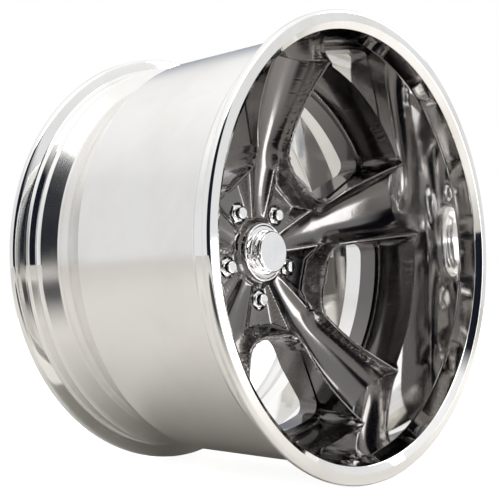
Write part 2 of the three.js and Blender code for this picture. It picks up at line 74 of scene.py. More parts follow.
FLANGE_RADIUS = high("rim_barrel", "z")
HALF_WIDTH = high("rim_barrel", "y")
CENTER_RADIUS = high("spoke_center", "z")
PAD_PLANE = high("spoke_center", "y")
TIP_PLANE = low("spoke_center", "y")
SEAT_RADIUS = CENTER_RADIUS + 0.3
CAP_FRONT = low("cap_disc", "y")
CAP_DISC_RADIUS = high("cap_disc", "z")
CAP_BASE_RADIUS = high("cap_body", "z")
CAP_BACK = high("cap_body", "y")
NUT_TIP = low("lug_nut_1", "y")
NUT_BACK = high("lug_nut_1", "y")
WASHER_FRONT = low("lug_washer_1", "y")
WASHER_BACK = high("lug_washer_1", "y")
SEAT_FRONT = low("lug_seat_1", "y")
SEAT_BACK = high("lug_seat_1", "y")
LUG_CIRCLE = (low("lug_nut_3", "z") + high("lug_nut_3", "z")) / -2
print(f"flange radius {FLANGE_RADIUS:.1f} mm, half width {HALF_WIDTH:.1f} mm, lug circle {LUG_CIRCLE:.2f} mm")

# %% [markdown]
# ## Outlines and turned pieces
# Most of a wheel is made on a lathe: a section is turned round the axis. A real edge is never quite
# sharp, and on bright metal the small radius on an edge is what catches the light. So each corner of a
# section may carry a radius, and `rounded` puts an arc there.

# %% Corners with a radius
def corner_arc(before, corner, after, radius, steps):
    """Points of the arc that rounds the corner between two straight lines."""
    a = (before - corner).normalized()
    b = (after - corner).normalized()
    half = math.acos(max(-1, min(1, a.dot(b)))) / 2
    if radius <= 0:
        return [corner]
    if half > math.radians(88):
        return [corner] * (steps + 1)
    room = 0.49 * min((before - corner).length, (after - corner).length)
    reach = min(radius / math.tan(half), room)
    radius = reach * math.tan(half)
    centre = corner + (a + b).normalized() * (radius / math.sin(half))
    start = corner + a * reach - centre
    end = corner + b * reach - centre
    sweep = math.acos(max(-1, min(1, start.dot(end) / radius**2)))
    turn = math.copysign(sweep, start.cross(end))
    return [centre + Matrix.Rotation(turn * i / steps, 2) @ start for i in range(steps + 1)]


def rounded(section, steps=6, closed=True):
    """A section of (radius, y, corner radius) in millimetres as a plain list of points."""
    corners = [Vector(p[:2]) for p in section]
    sizes = [p[2] if len(p) > 2 else 0 for p in section]
    points = []
    for i, corner in enumerate(corners):
        at_end = not closed and i in (0, len(corners) - 1)
        if at_end:
            points.append(corner)
        else:
            after = corners[(i + 1) % len(corners)]
            points += corner_arc(corners[i - 1], corner, after, sizes[i], steps)
    return points


# %% From points and faces to an object
def finish_mesh(name, bm, material, sharp_angle=32, weighted=False):
    """Makes a smooth-shaded object whose edges stay crisp where faces meet at a real corner."""
    bmesh.ops.remove_doubles(bm, verts=bm.verts, dist=2e-6)
    bmesh.ops.recalc_face_normals(bm, faces=bm.faces)
    for face in bm.faces:
        face.smooth = True
    limit = math.radians(sharp_angle)
    for edge in bm.edges:
        edge.smooth = len(edge.link_faces) != 2 or edge.calc_face_angle(0) < limit
    mesh = bpy.data.meshes.new(name)
    bm.to_mesh(mesh)
    bm.free()
    piece = bpy.data.objects.new(name, mesh)
    bpy.context.scene.collection.objects.link(piece)
    mesh.materials.append(material)
    if weighted:
        normals = piece.modifiers.new("large faces lead the shading", "WEIGHTED_NORMAL")
        normals.keep_sharp = True
    return piece


def turned_mesh(section, around, closed=True):
    """A section turned round the Y axis; one that changes on the way round is a function of the angle."""
    section_at = section if callable(section) else lambda angle: section
    bm = bmesh.new()
    rings = []
    for i in range(around):
        angle = 2 * math.pi * i / around
        ring = []
        for radius, y in section_at(angle):
            place = (radius * math.sin(angle) * MM, y * MM, radius * math.cos(angle) * MM)
            ring.append(bm.verts.new(place))
        rings.append(ring)
    count = len(rings[0])
    for i in range(around):
        here, there = rings[i], rings[(i + 1) % around]
        for j in range(count if closed else count - 1):
            k = (j + 1) % count
            bm.faces.new((here[j], here[k], there[k], there[j]))
    return bm


def turned(name, section, material, around=96, closed=True, place=None):
    """A turned piece, moved from the wheel's axis to its own place."""
    bm = turned_mesh(section, around, closed)
    if place is not None:
        bm.transform(place)
    return finish_mesh(name, bm, material, weighted=True)


def at_lug(number):
    """Moves a piece from the wheel's axis to lug `number`, 1 to 5, clockwise from the top."""
    turn = Matrix.Rotation(SECTOR * (number - 0.5), 4, "Y")
    return turn @ Matrix.Translation((0, 0, LUG_CIRCLE * MM))


def hexagon_reach(angle, flats):
    """From the centre of a hexagon to its side, one corner lying at angle 0."""
    sixth = math.pi / 3
    return flats / 2 / math.cos(angle % sixth - sixth / 2)


def thread(radius, start, end, pitch, depth):
    """The zigzag section of a thread's crests and roots, from start to end."""
    count = max(1, int(abs(end - start) / pitch))
    points = []
    for i in range(count):
        for share, drop in ((0.1, 0), (0.4, 0), (0.6, depth), (0.9, depth)):
            points.append((radius - drop, start + (end - start) * (i + share) / count))
    return points


def cut(bm, cutter):
    """One bmesh with another cut out of it."""
    objects = []
    for part in (bm, cutter):
        bmesh.ops.remove_doubles(part, verts=part.verts, dist=2e-6)
        bmesh.ops.recalc_face_normals(part, faces=part.faces)
        mesh = bpy.data.meshes.new("cutting")
        part.to_mesh(mesh)
        part.free()
        objects.append(bpy.data.objects.new("cutting", mesh))
        bpy.context.scene.collection.objects.link(objects[-1])
    taken_away = objects[0].modifiers.new("cut", "BOOLEAN")
    taken_away.operation = "DIFFERENCE"
    taken_away.solver = "EXACT"
    taken_away.object = objects[1]
    result = bmesh.new()
    result.from_object(objects[0], bpy.context.evaluated_depsgraph_get())
    for item in objects:
        mesh = item.data
        bpy.data.objects.remove(item)
        bpy.data.meshes.remove(mesh)
    return result


# %% [markdown]
# ## Finishes
# Two effects turn up in several finishes, so each is a shader node group. *Turning lines* are the fine
# grooves that a lathe or a polishing wheel leaves: they run round the axis, so they depend only on the
# distance from the axis and the place along it. *Smudges* are the soft patches that hands and cloths
# leave on bright metal, where the polish is a little duller.

# %% A small kit for node trees
def new_group(name, inputs, outputs):
    """An empty shader node group with the named number inputs and outputs."""
    tree = bpy.data.node_groups.new(name, "ShaderNodeTree")
    for label, value in inputs.items():
        socket = tree.interface.new_socket(label, in_out="INPUT", socket_type="NodeSocketFloat")
        socket.default_value = value
    for label in outputs:
        tree.interface.new_socket(label, in_out="OUTPUT", socket_type="NodeSocketFloat")
    return tree, tree.nodes.new("NodeGroupInput"), tree.nodes.new("NodeGroupOutput")


def math_node(tree, operation, first, second=None):
    """A math node whose inputs are sockets or plain numbers; returns its output."""
    node = tree.nodes.new("ShaderNodeMath")
    node.operation = operation
    for socket, value in zip(node.inputs, (first, second)):
        if isinstance(value, (int, float)):
            socket.default_value = value
        elif value is not None:
            tree.links.new(value, socket)
    return node.outputs[0]


def position_parts(tree):
    """The place on the object as separate X, Y and Z sockets, in metres."""
    coordinates = tree.nodes.new("ShaderNodeTexCoord")
    parts = tree.nodes.new("ShaderNodeSeparateXYZ")
    tree.links.new(coordinates.outputs["Object"], parts.inputs[0])
    return coordinates.outputs["Object"], parts.outputs


def noise(tree, vector, scale, detail=3, roughness=0.5):
    node = tree.nodes.new("ShaderNodeTexNoise")
    node.inputs["Scale"].default_value = scale
    node.inputs["Detail"].default_value = detail
    node.inputs["Roughness"].default_value = roughness
    tree.links.new(vector, node.inputs["Vector"])
    return node.outputs["Fac"]


def remap(tree, value, from_low, from_high, to_low, to_high):
    node = tree.nodes.new("ShaderNodeMapRange")
    for label, number in zip(("From Min", "From Max", "To Min", "To Max"),
                             (from_low, from_high, to_low, to_high)):
        node.inputs[label].default_value = number
    tree.links.new(value, node.inputs["Value"])
    return node.outputs["Result"]


def color_between(tree, mask, first, second):
    """From the first color to the second; each is three numbers or a socket."""
    node = tree.nodes.new("ShaderNodeMix")
    node.data_type = "RGBA"
    tree.links.new(mask, node.inputs["Factor"])
    for label, color in (("A", first), ("B", second)):
        if isinstance(color, tuple):
            node.inputs[label].default_value = (*color, 1)
        else:
            tree.links.new(color, node.inputs[label])
    return node.outputs["Result"]


# %% The two shared effects
def make_turning_lines():
    tree, given, out = new_group("turning_lines", {"Scale": 900.0}, ["Lines"])
    _, (x, y, z) = position_parts(tree)
    reach = math_node(tree, "SQRT", math_node(tree, "ADD", math_node(tree, "MULTIPLY", x, x),
                                              math_node(tree, "MULTIPLY", z, z)))
    join = tree.nodes.new("ShaderNodeCombineXYZ")
    tree.links.new(reach, join.inputs["X"])
    tree.links.new(y, join.inputs["Y"])
    grooves = tree.nodes.new("ShaderNodeTexNoise")
    grooves.inputs["Detail"].default_value = 4
    tree.links.new(join.outputs[0], grooves.inputs["Vector"])
    tree.links.new(given.outputs["Scale"], grooves.inputs["Scale"])
    tree.links.new(grooves.outputs["Fac"], out.inputs["Lines"])
    return tree


def make_smudges():
    tree, given, out = new_group("smudges", {"Scale": 9.0, "Amount": 1.0}, ["Mask"])
    place, _ = position_parts(tree)
    patches = tree.nodes.new("ShaderNodeTexNoise")
    patches.inputs["Detail"].default_value = 5
    patches.inputs["Roughness"].default_value = 0.6
    tree.links.new(place, patches.inputs["Vector"])
    tree.links.new(given.outputs["Scale"], patches.inputs["Scale"])
    soft = remap(tree, patches.outputs["Fac"], 0.45, 0.72, 0.0, 1.0)
    tree.links.new(math_node(tree, "MULTIPLY", soft, given.outputs["Amount"]), out.inputs["Mask"])
    return tree


TURNING_LINES = make_turning_lines()
SMUDGES = make_smudges()


def use_group(tree, group, **values):
    node = tree.nodes.new("ShaderNodeGroup")
    node.node_tree = group
    for label, value in values.items():
        node.inputs[label].default_value = value
    return node.outputs[0]


def bump(tree, shader, height, distance, strength=1.0):
    node = tree.nodes.new("ShaderNodeBump")
    node.inputs["Distance"].default_value = distance
    node.inputs["Strength"].default_value = strength
    tree.links.new(height, node.inputs["Height"])
    tree.links.new(node.outputs["Normal"], shader.inputs["Normal"])


def new_material(name, color, metallic, roughness):
    material = bpy.data.materials.new(name)
    material.use_nodes = True
    shader = material.node_tree.nodes["Principled BSDF"]
    shader.inputs["Base Color"].default_value = (*color, 1)
    shader.inputs["Metallic"].default_value = metallic
    shader.inputs["Roughness"].default_value = roughness
    return material, material.node_tree, shader


# %% The finishes themselves
def metal(name, color, stained, roughness, dull, lines, line_scale=900, smudge_scale=9):
    """Bare or plated metal: turning lines in its relief, smudges in its color and gloss."""
    material, tree, shader = new_material(name, color, 1, roughness)
    smudge = use_group(tree, SMUDGES, Scale=smudge_scale)
    tree.links.new(color_between(tree, smudge, color, stained), shader.inputs["Base Color"])
    tree.links.new(remap(tree, smudge, 0, 1, roughness, dull), shader.inputs["Roughness"])
    bump(tree, shader, use_group(tree, TURNING_LINES, Scale=line_scale), lines)
    return material


POLISHED = metal("polished_aluminium", (0.93, 0.925, 0.91), (0.84, 0.82, 0.79), 0.035, 0.09, 0.000004)
BARREL = metal("turned_aluminium", (0.90, 0.89, 0.87), (0.83, 0.81, 0.78), 0.16, 0.24, 0.00002, 700, 7)
CHROME = metal("chrome_plate", (0.95, 0.95, 0.95), (0.88, 0.88, 0.88), 0.02, 0.06, 0.000001, 1500, 40)
STEEL = metal("machined_steel", (0.56, 0.56, 0.55), (0.42, 0.40, 0.38), 0.28, 0.42, 0.00001, 1800, 60)
WELD = metal("welded_aluminium", (0.72, 0.71, 0.70), (0.50, 0.49, 0.48), 0.30, 0.45, 0.00002, 400, 30)
BRASS = metal("turned_brass", (0.72, 0.56, 0.28), (0.50, 0.36, 0.17), 0.25, 0.40, 0.00001, 2500, 200)


def gunmetal():
    """Dark metallic paint under clear coat: tiny flakes tilt the light, the coat mirrors it."""
    dark, light = (0.108, 0.100, 0.098), (0.180, 0.169, 0.164)
    material, tree, shader = new_material("gunmetal_paint", dark, 1.0, 0.2)
    place, _ = position_parts(tree)
    flakes = noise(tree, place, 5200, 2, 0.7)
    tree.links.new(color_between(tree, remap(tree, flakes, 0.35, 0.7, 0, 1), dark, light),
                   shader.inputs["Base Color"])
    tree.links.new(remap(tree, noise(tree, place, 30), 0.3, 0.7, 0.15, 0.22), shader.inputs["Roughness"])
    bump(tree, shader, flakes, 0.000006, 0.5)
    shader.inputs["Coat Weight"].default_value = 1.0
    shader.inputs["Coat Roughness"].default_value = 0.025
    shader.inputs["Coat IOR"].default_value = 1.5
    return material


def rubber():
    material, tree, shader = new_material("black_rubber", (0.018, 0.018, 0.018), 0, 0.6)
    place, _ = position_parts(tree)
    grain = noise(tree, place, 2500, 4)
    tree.links.new(remap(tree, grain, 0.3, 0.7, 0.5, 0.75), shader.inputs["Roughness"])
    bump(tree, shader, grain, 0.00003)
    return material


GUNMETAL = gunmetal()
RUBBER = rubber()
print("finishes:", ", ".join(m.name for m in bpy.data.materials))

# %% [markdown]
# ## The polished rim
# The rim is one turned section. From the front: a rolled flange, a bead seat with its hump, a long plain
# barrel, an easy slope into the drop center, and the steep wall, hump and flange at the back. Inside,
# the lip behind the front flange is a plain mirror. The outside of the barrel only has a turned finish,
# because the tyre hides it, so those faces take the duller metal.

# %% Turn the rim
BEAD_SEAT_RADIUS = FLANGE_RADIUS - 17.3
BARREL_RADIUS = BEAD_SEAT_RADIUS - 1.5
REAR_WALL = 5
HALF_BEAD = HALF_WIDTH - 12.6
HUMP_PLANE = HALF_BEAD - 21.9
WELL_RADIUS = BARREL_RADIUS - 14
WELL_FRONT = HALF_BEAD - 95.4
WELL_FLOOR = WELL_FRONT + 36
WELL_END = HALF_BEAD - 40.4
CENTER_BACK = 12
RIM_FACETS = 360
VALVE_STEM = 4
VALVE_HOLE = 5.8
VALVE_ANGLE = math.radians(144)
VALVE_PLANE = CENTER_BACK + 24
AT_VALVE = (Matrix.Translation((0, VALVE_PLANE * MM, 0)) @ Matrix.Rotation(VALVE_ANGLE, 4, "Y")
            @ Matrix.Rotation(math.pi / 2, 4, "X"))


def flange_section():
    """From the bead seat over the rolled lip to the inner wall, for the flange at the back."""
    return [
        (BEAD_SEAT_RADIUS, HALF_BEAD - 4.5, 3),
        (BEAD_SEAT_RADIUS + 2.6, HALF_BEAD - 0.6, 2.5),
        (FLANGE_RADIUS - 5.5, HALF_BEAD + 1.6, 2),
        (FLANGE_RADIUS, HALF_BEAD + 3.2, 4.4),
        (FLANGE_RADIUS, HALF_WIDTH, 4.6),
        (FLANGE_RADIUS - 13.5, HALF_WIDTH, 1.2),
        (BARREL_RADIUS - 2.5, HALF_WIDTH - 6, 2.5),
    ]


def rim_section():
    front = [(radius, -y, size) for radius, y, size in flange_section()]
    front_barrel = [
        (BEAD_SEAT_RADIUS, -HUMP_PLANE - 5.5, 2),
        (BEAD_SEAT_RADIUS + 1.6, -HUMP_PLANE, 4),
        (BARREL_RADIUS, -HUMP_PLANE + 4.5, 4),
    ]
    rear_barrel = [
        (BARREL_RADIUS, WELL_FRONT, 1.5),
        (WELL_RADIUS, WELL_FLOOR, 12),
        (WELL_RADIUS, WELL_END, 5),
        (BEAD_SEAT_RADIUS - 1, HUMP_PLANE - 4.5, 4),
        (BEAD_SEAT_RADIUS + 1.8, HUMP_PLANE, 4),
        (BEAD_SEAT_RADIUS - 0.4, HUMP_PLANE + 5.5, 3),
    ]
    inner_wall = [
        (BARREL_RADIUS - REAR_WALL, HALF_BEAD - 4, 3),
        (BARREL_RADIUS - REAR_WALL - 1, HUMP_PLANE + 3.5, 5),
        (WELL_RADIUS - REAR_WALL, WELL_END + 2, 8),
        (WELL_RADIUS - REAR_WALL, WELL_FLOOR, 14),
        (BARREL_RADIUS - REAR_WALL, WELL_FRONT - 3, 8),
        (BARREL_RADIUS - REAR_WALL, CENTER_BACK + 12, 2),
        (SEAT_RADIUS, CENTER_BACK + 8, 2),
        (SEAT_RADIUS, TIP_PLANE, 0),
        (SEAT_RADIUS + 1.2, -HALF_BEAD + 16, 20),
        (SEAT_RADIUS + 4, -HALF_BEAD + 1, 3),
    ]
    return rounded([*reversed(front), *front_barrel, *rear_barrel, *flange_section(), *inner_wall], steps=10)


def make_rim():
    start, end = BEAD_SEAT_RADIUS + 10, WELL_RADIUS - 10
    hole = turned_mesh([(0, start), (VALVE_HOLE, start), (VALVE_HOLE, end), (0, end)], 40, closed=False)
    hole.transform(AT_VALVE)
    cut_rim = cut(turned_mesh(rim_section(), RIM_FACETS), hole)
    rim = finish_mesh("polished_rim", cut_rim, POLISHED, weighted=True)
    rim.data.materials.append(BARREL)
    for face in rim.data.polygons:
        radius = math.hypot(face.center.x, face.center.z) / MM
        outside = radius > WELL_RADIUS - 1 and face.normal.dot((face.center.x, 0, face.center.z)) > 0
        if outside and -HUMP_PLANE + 6 < face.center.y / MM < HUMP_PLANE - 8:
            face.material_index = 1
    return rim


rim = make_rim()
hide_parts("rim_barrel")
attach(rim, "wheel")
print("rim:", len(rim.data.polygons), "faces")

# %% [markdown]
# ## The forged center
# The center's face isn't turned: it is milled from a forging. Its front is a single surface over the
# plane of the wheel, so it can be written as one height for each point: a scoop along each spoke between
# two ridges, a raised band round each window, and a sunken pocket for each lug. A window's wall and
# the ring outside it are only very steep parts of that surface.
# Points are placed along the ridges and window edges and scattered evenly between them, and a
# triangulation that keeps those lines gives crisp edges. One half of one spoke is enough, because
# mirrored and turned copies make the rest.

# %% Sizes of the center
CAP_BORE = 32.5
HUB_BORE = 39.1
HUB_BORE_PLANE = PAD_PLANE - 12
COUNTERBORE = 14.22
COUNTERBORE_FLOOR = PAD_PLANE - 14
SLEEVE_HOLE = 11
BOSS_PLANE, BOSS_SLOPE = 4, 1.5
POCKET_FLOOR, POCKET_SLOPE = 13.2, 0.71
RIDGE_START, RIDGE_PLANE, RIDGE_SLOPE = 47, 10.7, 0.144
RIDGE_HALF_WIDTH, RIDGE_SPREAD, RIDGE_JOIN = 12.2, 0.19, 31
RIDGE_CREST = 0.9
VALLEY_PLANE, VALLEY_END = 12, -35.2
SCOOP_HUB_POWER, SCOOP_POWER = 2, 3.6
WINDOW_INNER, WINDOW_CORNER = 108.7, 31
WINDOW_ANGLE, WINDOW_OFFSET = math.radians(25), 6.34
BAND_PLANE, BAND_FLAT, BAND_WIDTH, BAND_CROWN, FLANK_SLOPE = -18, 117, 4.5, 0.5, 3
LEDGE_PLANE, OPENING_INSET, OPENING_RADIUS, OPENING_CORNER = -10.4, 3, 227, 16
RING_SHOULDER_RADIUS, RING_SHOULDER_PLANE, RING_FOOT_RADIUS, RING_EDGE_PLANE = 239.5, -48, 235.5, -67
FACET = 14
BORE_STEPS, EDGE_STEPS, LUG_STEPS = 30, 72, 24


# %% The height of the front surface
def nearer(a, b, fillet):
    """Of two surfaces, the one further forwards, with a fillet where they meet."""
    gap = np.maximum(fillet - np.abs(a - b), 0) / fillet
    return np.minimum(a, b) - gap * gap * fillet / 4


def smooth_step(value, start, end):
    t = np.clip((value - start) / (end - start), 0, 1)
    return t * t * (3 - 2 * t)


def band_plane(radius):
    run = np.maximum(radius - BAND_FLAT, 0) / (SEAT_RADIUS - BAND_FLAT)
    return BAND_PLANE + (TIP_PLANE - BAND_PLANE) * run**2


def valley_plane(radius):
    run = (radius - RIDGE_START) / (SEAT_RADIUS - RIDGE_START)
    return VALLEY_PLANE + (VALLEY_END - VALLEY_PLANE) * run**2


def side_distance(u, w):
    """How far a point lies outside the straight side of a window: u along its centre line, w across."""
    return np.abs(w) * math.cos(WINDOW_ANGLE) - u * math.sin(WINDOW_ANGLE) + WINDOW_OFFSET


def outside_window(u, w):
    side = side_distance(u, w)
    inner = WINDOW_INNER - np.hypot(u, w)
    k = WINDOW_CORNER
    round_corner = np.hypot(np.maximum(side + k, 0), np.maximum(inner + k, 0)) - k
    return np.where((side < -k) | (inner < -k), np.maximum(side, inner), round_corner)


def spoke_face(x, z):
    """The scoop, its ridges, the window bands, the lug pockets and the boss."""
    radius = np.hypot(x, z)
    across = np.abs(x)
    run = radius - RIDGE_START
    ridge_width = RIDGE_HALF_WIDTH + RIDGE_SPREAD * run
    joined = smooth_step(radius, WINDOW_INNER, WINDOW_INNER + RIDGE_JOIN)
    band = band_plane(radius)
    ridge = (RIDGE_PLANE - RIDGE_SLOPE * run) * (1 - joined) + band * joined
    crest = RIDGE_CREST * (1 - joined)
    share = np.clip(across / (ridge_width - crest), 0, 1)
    power = SCOOP_HUB_POWER + (SCOOP_POWER - SCOOP_HUB_POWER) * smooth_step(radius, RIDGE_START, 190)
    scoop = valley_plane(radius) + (ridge - valley_plane(radius)) * share**power
    pocket = np.minimum(ridge + POCKET_SLOPE * np.maximum(across - ridge_width - crest, 0), POCKET_FLOOR)
    face = np.where(across < ridge_width, scoop, pocket)
    u, w = window_axes(x, z)
    outside = outside_window(u, w)
    along_band = np.clip((outside - BAND_WIDTH / 2) / (BAND_WIDTH / 2), -1, 1)
    flank = band + BAND_CROWN * along_band**2 + FLANK_SLOPE * np.maximum(outside - BAND_WIDTH, 0)
    boss = BOSS_PLANE + BOSS_SLOPE * np.maximum(radius - CAP_BASE_RADIUS - 1, 0)
    return nearer(nearer(face, flank, 2), boss, 1)


def window_axes(x, z):
    """A point's place along and across the centre line of the window clockwise of the top spoke."""
    sine, cosine = math.sin(SECTOR / 2), math.cos(SECTOR / 2)
    return x * sine + z * cosine, z * sine - x * cosine


def front_plane(x, z):
    """The whole front surface, for points between the top spoke and its window, in millimetres."""
    radius = np.hypot(x, z)
    u, w = window_axes(x, z)
    depth = -outside_window(u, w)
    to_ring = RING_SHOULDER_RADIUS - radius
    ring = RING_SHOULDER_PLANE + (RING_EDGE_PLANE - RING_SHOULDER_PLANE) * np.clip(
        (radius - RING_SHOULDER_RADIUS) / (SEAT_RADIUS - RING_SHOULDER_RADIUS), 0, 1)
    facet = smooth_step(depth, -1.5, FACET)
    top = spoke_face(x, z) * (1 - facet) + ring * facet
    # inside a window: how far in from its side and from the ring, with a rounded corner between them
    k = FACET
    corner = k - np.hypot(np.maximum(k - depth, 0), np.maximum(k - to_ring, 0))
    inside = np.where((depth > k) | (to_ring > k), np.minimum(depth, to_ring), corner)
    ring_share = smooth_step(depth - to_ring, -k, k)
    wall_width = 1.0 + (RING_SHOULDER_RADIUS - RING_FOOT_RADIUS - 1.0) * ring_share
    fall = np.clip(inside / wall_width, 0, 1)
    cove = fall ** (1 - 0.6 * ring_share)
    wall = top + (LEDGE_PLANE - top) * cove
    return np.where(depth > 0, np.where(inside > 0, wall, top), spoke_face(x, z))


def back_plane(radius):
    """The turned back: flat at the rim, easing up to the hub pad."""
    steps = [PAD_PLANE, PAD_PLANE, PAD_PLANE - 5, PAD_PLANE - 10, CENTER_BACK + 6, CENTER_BACK, CENTER_BACK]
    radii = [0, 82, 90, (CENTER_RADIUS + 82) / 2, CENTER_RADIUS - 32, CENTER_RADIUS - 12, SEAT_RADIUS]
    return np.interp(radius, radii, steps)


# %% Lines that the triangles must follow
def from_window_axes(u, w):
    sine, cosine = math.sin(SECTOR / 2), math.cos(SECTOR / 2)
    return Vector((u * sine - w * cosine, u * cosine + w * sine))


def window_line(inset, end_radius, arc_steps=26, side_steps=70):
    """Half of a window's outline, inset evenly, from its centre line round the corner to end_radius."""
    corner = WINDOW_CORNER - inset
    inner = WINDOW_INNER + inset
    offset = WINDOW_OFFSET + inset
    reach = inner + corner
    off_side = offset + corner
    run = math.sqrt(reach**2 - off_side**2)
    cosine, sine = math.cos(WINDOW_ANGLE), math.sin(WINDOW_ANGLE)
    centre = Vector((run * cosine + off_side * sine, run * sine - off_side * cosine))
    bearing = math.atan2(centre.y, centre.x)
    points = []
    for i in range(arc_steps):
        angle = bearing * i / arc_steps
        points.append((inner * math.cos(angle), inner * math.sin(angle)))
    start, end = bearing + math.pi, WINDOW_ANGLE + math.pi / 2
    for i in range(arc_steps + 1):
        angle = start + (end - start) * i / arc_steps
        points.append((centre.x + corner * math.cos(angle), centre.y + corner * math.sin(angle)))
    first = run
    last = math.sqrt(end_radius**2 - offset**2)
    for i in range(1, side_steps + 1):
        along = first + (last - first) * i / side_steps
        points.append((along * cosine + offset * sine, along * sine - offset * cosine))
    return [from_window_axes(u, w) for u, w in points]


def opening_line(inset=0.0):
    """The edge of the through opening, from the window's centre line at the hub round to the rim side."""
    total = OPENING_INSET + inset
    outer = OPENING_RADIUS - inset
    corner = OPENING_CORNER
    offset = WINDOW_OFFSET + total
    off_side = offset + corner
    reach = outer - corner
    run = math.sqrt(reach**2 - off_side**2)
    cosine, sine = math.cos(WINDOW_ANGLE), math.sin(WINDOW_ANGLE)
    centre = Vector((run * cosine + off_side * sine, run * sine - off_side * cosine))
    bearing = math.atan2(centre.y, centre.x)
    end_radius = math.hypot(run, offset)
    points = window_line(total, end_radius, 26, 50)
    steps = 14
    start = WINDOW_ANGLE + math.pi / 2
    for i in range(1, steps + 1):
        angle = start + (bearing - start) * i / steps
        u, w = centre.x + corner * math.cos(angle), centre.y + corner * math.sin(angle)
        points.append(from_window_axes(u, w))
    steps = 24
    for i in range(1, steps + 1):
        angle = bearing * (1 - i / steps)
        points.append(from_window_axes(outer * math.cos(angle), outer * math.sin(angle)))
    return points


def ridge_line(shift, end_radius, steps=110):
    """A ridge of the scoop, moved sideways by shift."""
    points = []
    for i in range(steps + 1):
        radius = RIDGE_START + (end_radius - RIDGE_START) * i / steps
        across = RIDGE_HALF_WIDTH + RIDGE_SPREAD * (radius - RIDGE_START) + shift
        points.append(Vector((across, math.sqrt(radius**2 - across**2))))
    return points


def arc_line(radius, start, end, steps):
    """An arc about the axis; angles run clockwise from the top."""
    return [Vector((radius * math.sin(start + (end - start) * i / steps),
                    radius * math.cos(start + (end - start) * i / steps))) for i in range(steps + 1)]


def straight_line(start, end, steps):
    return [start + (end - start) * i / steps for i in range(steps + 1)]


# %% Triangulate half a spoke
def half_outline(bore, hole, opening, spacing):
    """The closed outline of half a spoke, seen from the front, with half a lug hole cut out of it."""
    half = SECTOR / 2
    window_dir = Vector((math.sin(half), math.cos(half)))
    up = Vector((0, 1))

    def steps(length):
        return max(1, round(length / spacing))

    lug = window_dir * LUG_CIRCLE
    hole_points = []
    for i in range(LUG_STEPS + 1):
        turn = math.pi * i / LUG_STEPS
        hole_points.append(lug + Matrix.Rotation(-turn, 2) @ (-window_dir * hole))
    outline = arc_line(bore, 0, half, BORE_STEPS)
    outline += straight_line(window_dir * bore, window_dir * (LUG_CIRCLE - hole), steps(12))[1:-1]
    outline += hole_points
    inner = opening[0].length
    outline += straight_line(window_dir * (LUG_CIRCLE + hole), window_dir * inner, steps(34))[1:-1]
    outline += opening
    outer = opening[-1].length
    outline += straight_line(window_dir * outer, window_dir * CENTER_RADIUS, steps(17))[1:-1]
    outline += arc_line(CENTER_RADIUS, half, 0, EDGE_STEPS)
    outline += straight_line(up * CENTER_RADIUS, up * bore, steps(CENTER_RADIUS - bore))[1:-1]
    return outline, hole_points


SCATTER_CLEARANCE, ROW_STEP = 0.55, 0.87
LINE_CLEARANCE = 0.35


def inside_polygon(point, polygon):
    inside = False
    for a, b in zip(polygon, polygon[1:] + polygon[:1]):
        if (a.y > point.y) != (b.y > point.y):
            if point.x < (b.x - a.x) * (point.y - a.y) / (b.y - a.y) + a.x:
                inside = not inside
    return inside


def scattered(lines, spacing):
    """Evenly spaced points between the lines, none of them close to one."""
    tree = kdtree.KDTree(sum(len(line) for line in lines))
    index = 0
    for line in lines:
        for point in line:
            tree.insert((point.x, point.y, 0), index)
            index += 1
    tree.balance()
    points = []
    radius = CAP_BORE
    row = 0
    while radius < CENTER_RADIUS:
        count = max(2, round(radius * SECTOR / 2 / spacing))
        for i in range(count):
            angle = SECTOR / 2 * (i + (row % 2) / 2 + 0.25) / count
            point = Vector((radius * math.sin(angle), radius * math.cos(angle)))
            if tree.find((point.x, point.y, 0))[2] > spacing * SCATTER_CLEARANCE:
                points.append(point)
        radius += spacing * ROW_STEP
        row += 1
    return points


def triangulated(outline, lines, spacing):
    """Triangles over the outline that follow the lines; returns places and faces."""
    points = list(outline)
    edges = []
    for line in lines:
        start = len(points)
        points += line
        edges += [(start + i, start + i + 1) for i in range(len(line) - 1)]
    points += scattered([outline, *lines], spacing)
    face = list(range(len(outline)))
    made = geometry.delaunay_2d_cdt(points, edges, [face], 1, 1e-4)
    return made[0], made[2]


FRONT_SPACING, BACK_SPACING = 1.7, 5.0
EDGE_OFFSETS = (-6.5, -4.5, -3.3, -2.25, -1.2, -0.5, 0.0, 0.45, 1.0)
RING_RADII = [RING_FOOT_RADIUS + step for step in (0, 0.6, 1.7, 2.9, 4, 6)]


def inside_lines(outline, lines):
    """Keeps the stretches of the lines that lie inside the outline, clear of its edge."""
    tree = kdtree.KDTree(len(outline))
    for i, point in enumerate(outline):
        tree.insert((point.x, point.y, 0), i)
    tree.balance()
    kept = []
    for line in lines:
        stretch = []
        for point in line:
            outside_painted_shade = tree.find((point.x, point.y, 0))[2] > LINE_CLEARANCE
            if outside_painted_shade and inside_polygon(point, outline):
                stretch.append(point)
            elif stretch:
                kept.append(stretch)
                stretch = []
        if stretch:
            kept.append(stretch)
    return kept


def front_lines():
    lines = [window_line(offset, CENTER_RADIUS - 0.5) for offset in EDGE_OFFSETS]
    lines += [ridge_line(shift, 150) for shift in (-RIDGE_CREST, RIDGE_CREST)]
    lines += [arc_line(radius, 0.2, SECTOR / 2, 90) for radius in RING_RADII]
    lines.append(arc_line(CAP_BASE_RADIUS + 1, 0, SECTOR / 2, 30))
    return lines


# %% Build the whole center
def add_strip(bm, rows):
    """Faces between rows of points that all have the same length."""
    made = [[bm.verts.new(point) for point in row] for row in rows]
    for lower, upper in zip(made, made[1:]):
        for i in range(len(lower) - 1):
            bm.faces.new((lower[i], lower[i + 1], upper[i + 1], upper[i]))


def add_surface(bm, places, faces, heights):
    verts = [bm.verts.new((p.x * MM, y * MM, p.y * MM)) for p, y in zip(places, heights)]
    for face in faces:
        if len(set(face)) > 2:
            bm.faces.new([verts[i] for i in face])


